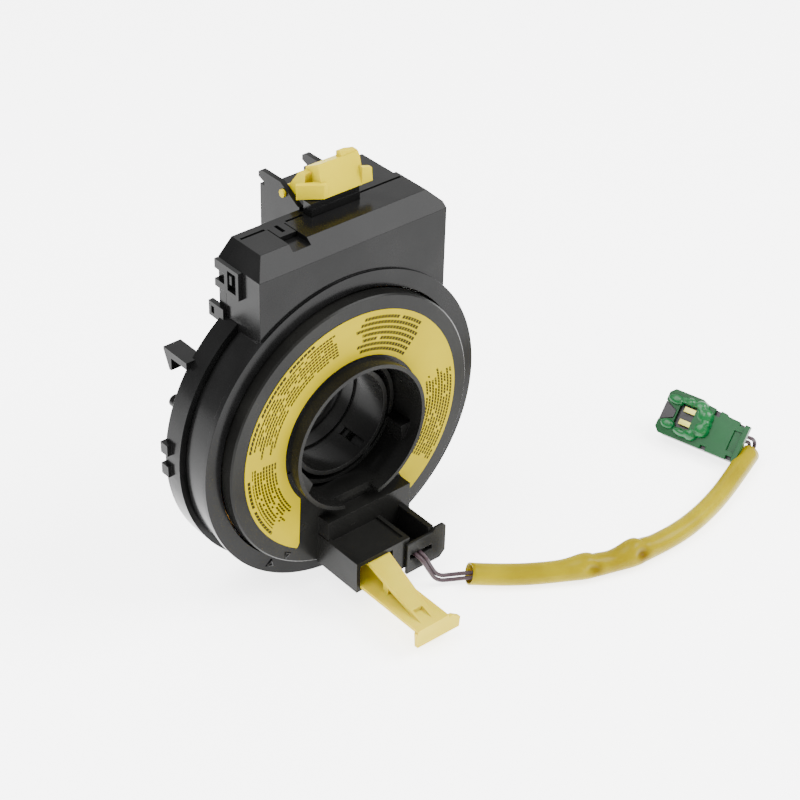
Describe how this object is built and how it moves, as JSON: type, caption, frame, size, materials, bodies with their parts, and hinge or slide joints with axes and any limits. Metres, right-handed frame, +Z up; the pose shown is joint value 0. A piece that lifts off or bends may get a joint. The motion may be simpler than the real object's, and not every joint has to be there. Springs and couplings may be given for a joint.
{
  "type": "steering clock spring",
  "caption": "Drum with a wound ribbon cable that links a steering column connector to a turning airbag lead.",
  "frame": {"origin": "on the turning axis, in the plane of the rear face that lies on the steering column", "axes": "+Y towards the column, -Y towards the driver, +Z up to the connector box, +X right seen from the driver"},
  "size_m": [0.2064, 0.1082, 0.1404],
  "materials": {
    "black_case": "moulded, fine grain, satin",
    "black_rotor": "moulded, satin",
    "inner_plastic": "natural",
    "tinned_strip": "tinned",
    "ribbon_film": "clear film over copper",
    "slip_film": "frosted film",
    "yellow_label": "printed film",
    "wire_dark": "satin insulation",
    "yellow_sleeve": "soft, see-through",
    "black_plug": "moulded",
    "green_plug": "moulded",
    "gilt_contact": "gilt",
    "yellow_key": "moulded",
    "yellow_lever": "moulded"
  },
  "bodies": {
    "stator": {"front_case": "black_case", "rear_cover": "black_case", "connector_body": "black_case", "terminal_block": "inner_plastic", "bus_strips": "tinned_strip", "column_terminals": "tinned_strip", "side_terminals": "tinned_strip", "outer_carrier": "inner_plastic", "ribbon_cable": "ribbon_film", "rear_slip_sheet": "slip_film"},
    "turning": {"rotor": "black_rotor", "cancel_sleeve": "black_rotor", "face_label": "yellow_label", "front_slip_sheet": "slip_film", "inner_carrier": "inner_plastic", "socket_terminals": "tinned_strip", "wire_plate": "black_rotor", "lead_wire_a": "wire_dark", "lead_wire_b": "wire_dark", "lead_sleeve": "yellow_sleeve", "plug_body": "black_plug", "plug_cover": "green_plug", "plug_contacts": "gilt_contact"},
    "key": {"lock_key": "yellow_key"},
    "lever": {"connector_lever": "yellow_lever"}
  },
  "joints": [
    {"name": "rotor_turn", "type": "hinge", "parent": "stator", "child": "turning", "pos_m": [0, -0.02, 0], "axis": [0, -1, 0], "range_deg": [-900, 900], "deforming": ["ribbon_cable"]},
    {"name": "key_pull", "type": "slide", "parent": "turning", "child": "key", "axis": [0, -1, 0], "range_m": [0, 0.01]},
    {"name": "lever_swing", "type": "hinge", "parent": "stator", "child": "lever", "pos_m": [0.008, 0.0087, 0.0714], "axis": [-1, 0, 0], "range_deg": [0, 75]}
  ]
}
